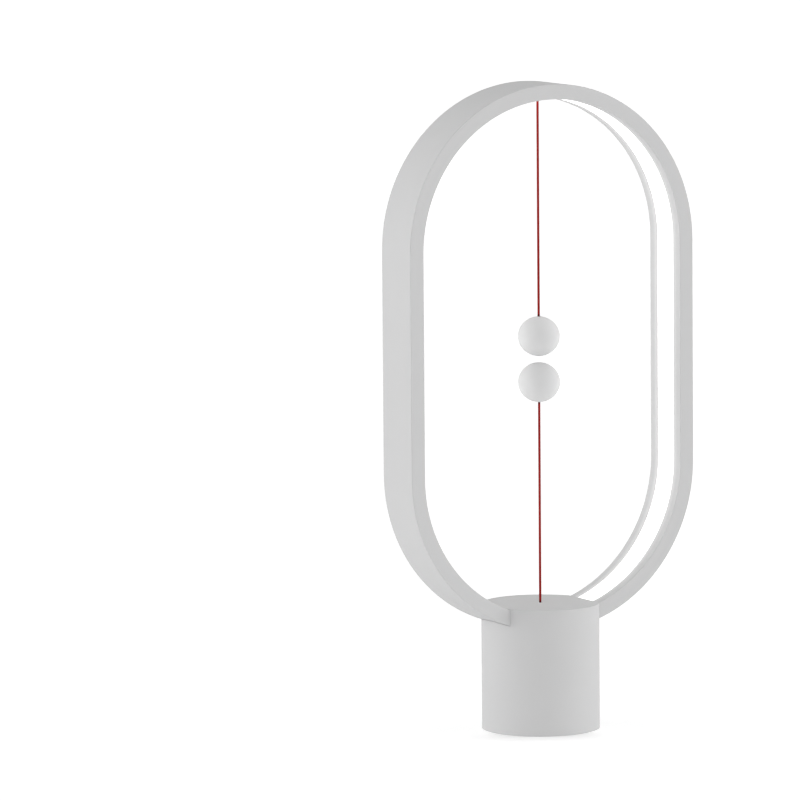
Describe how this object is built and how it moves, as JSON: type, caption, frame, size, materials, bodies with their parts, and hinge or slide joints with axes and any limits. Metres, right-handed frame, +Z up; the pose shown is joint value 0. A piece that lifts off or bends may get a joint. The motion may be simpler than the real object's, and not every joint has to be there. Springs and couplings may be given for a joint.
{
  "type": "magnetic balance lamp",
  "caption": "Table lamp: a stadium-shaped light frame in a round base, with magnet balls on cords that meet inside it and switch the light.",
  "frame": {"origin": "on the table under the middle of the round base", "axes": "+Z up, the frame's plane is XZ, -Y is the front that the picture shows, the power socket faces +Y"},
  "size_m": [0.2, 0.073, 0.4],
  "materials": {
    "frame_grey": "light grey moulding, satin",
    "base_grey": "light grey moulding, satin",
    "milky": "milky diffuser, lit from behind",
    "ball_grey": "light grey, satin",
    "ball_cap": "grey plug, satin",
    "red_cord": "dark red braided cord",
    "bright_steel": "plated steel",
    "dark_steel": "dark iron",
    "inner_plastic": "plain inner moulding",
    "black_plastic": "black moulding",
    "board_green": "green circuit board",
    "strip_white": "white LED strip",
    "wire_white": "white insulated lead",
    "foot_rubber": "black foam rubber"
  },
  "bodies": {
    "lamp": {"frame_ring": "frame_grey", "light_diffuser": "milky", "led_strip_left": "strip_white", "led_strip_right": "strip_white", "cord_hanger": "inner_plastic", "upper_eyelet": "bright_steel", "upper_cord_tail": "red_cord", "lower_eyelet": "bright_steel", "base_top_cap": "base_grey", "base_housing": "base_grey", "frame_saddle": "inner_plastic", "frame_screw_left": "bright_steel", "frame_screw_right": "bright_steel", "cap_screw_front": "bright_steel", "cap_screw_rear": "bright_steel", "return_spring": "bright_steel", "switch_body": "black_plastic", "switch_lever_pin": "bright_steel", "switch_screw_inner": "bright_steel", "switch_screw_outer": "bright_steel", "switch_lead": "wire_white", "led_wire_left": "wire_white", "led_wire_right": "wire_white", "control_board": "board_green", "board_chip": "black_plastic", "board_choke": "dark_steel", "board_capacitor": "bright_steel", "board_screw_left": "bright_steel", "board_screw_right": "bright_steel", "power_socket": "bright_steel", "base_weight": "dark_steel", "weight_screw": "bright_steel", "base_plate": "black_plastic", "plate_screw_1": "bright_steel", "plate_screw_2": "bright_steel", "plate_screw_3": "bright_steel", "foot_pad": "foot_rubber"},
    "cord_pull": {"pull_plunger": "inner_plastic", "lower_cord_tail": "red_cord"},
    "lower_bend": {"lower_cord_bend": "red_cord"},
    "lower_pendulum": {"lower_cord": "red_cord", "lower_ball": "ball_grey", "lower_magnet": "bright_steel", "lower_ball_cap": "ball_cap"},
    "lever": {"switch_lever": "bright_steel"},
    "button": {"switch_button": "inner_plastic"},
    "upper_bend": {"upper_cord_bend": "red_cord"},
    "upper_pendulum": {"upper_cord": "red_cord", "upper_ball": "ball_grey", "upper_magnet": "bright_steel", "upper_ball_cap": "ball_cap"}
  },
  "joints": [
    {"name": "lower_cord_pull", "type": "slide", "parent": "lamp", "child": "cord_pull", "axis": [0, 0, 1], "range_m": [-0.003, 0], "stiffness_N_per_m": 150, "springref_m": 0.003, "deforming": ["return_spring"]},
    {"name": "lower_swing_fore_aft", "type": "hinge", "parent": "cord_pull", "child": "lower_bend", "pos_m": [0, 0, 0.082], "axis": [1, 0, 0], "range_deg": [-90, 90], "stiffness_Nm_per_rad": 0.12},
    {"name": "lower_swing_sideways", "type": "hinge", "parent": "lower_bend", "child": "lower_pendulum", "pos_m": [0, 0, 0.082], "axis": [0, 1, 0], "range_deg": [-30, 30], "stiffness_Nm_per_rad": 0.12},
    {"name": "switch_lever_tilt", "type": "hinge", "parent": "lamp", "child": "lever", "pos_m": [0.0166, 0, 0.0323], "axis": [0, 1, 0], "range_deg": [-9, 0]},
    {"name": "switch_button_press", "type": "slide", "parent": "lamp", "child": "button", "axis": [0, 0, 1], "range_m": [-0.00065, 0]},
    {"name": "upper_swing_fore_aft", "type": "hinge", "parent": "lamp", "child": "upper_bend", "pos_m": [0, 0, 0.3898], "axis": [1, 0, 0], "range_deg": [-80, 80]},
    {"name": "upper_swing_sideways", "type": "hinge", "parent": "upper_bend", "child": "upper_pendulum", "pos_m": [0, 0, 0.3898], "axis": [0, 1, 0], "range_deg": [-30, 30]}
  ],
  "couplings": [
    {"joint": "switch_lever_tilt", "follows": "lower_cord_pull", "rad_per_m": 50.7},
    {"joint": "switch_button_press", "follows": "lower_cord_pull", "ratio": 0.202}
  ]
}
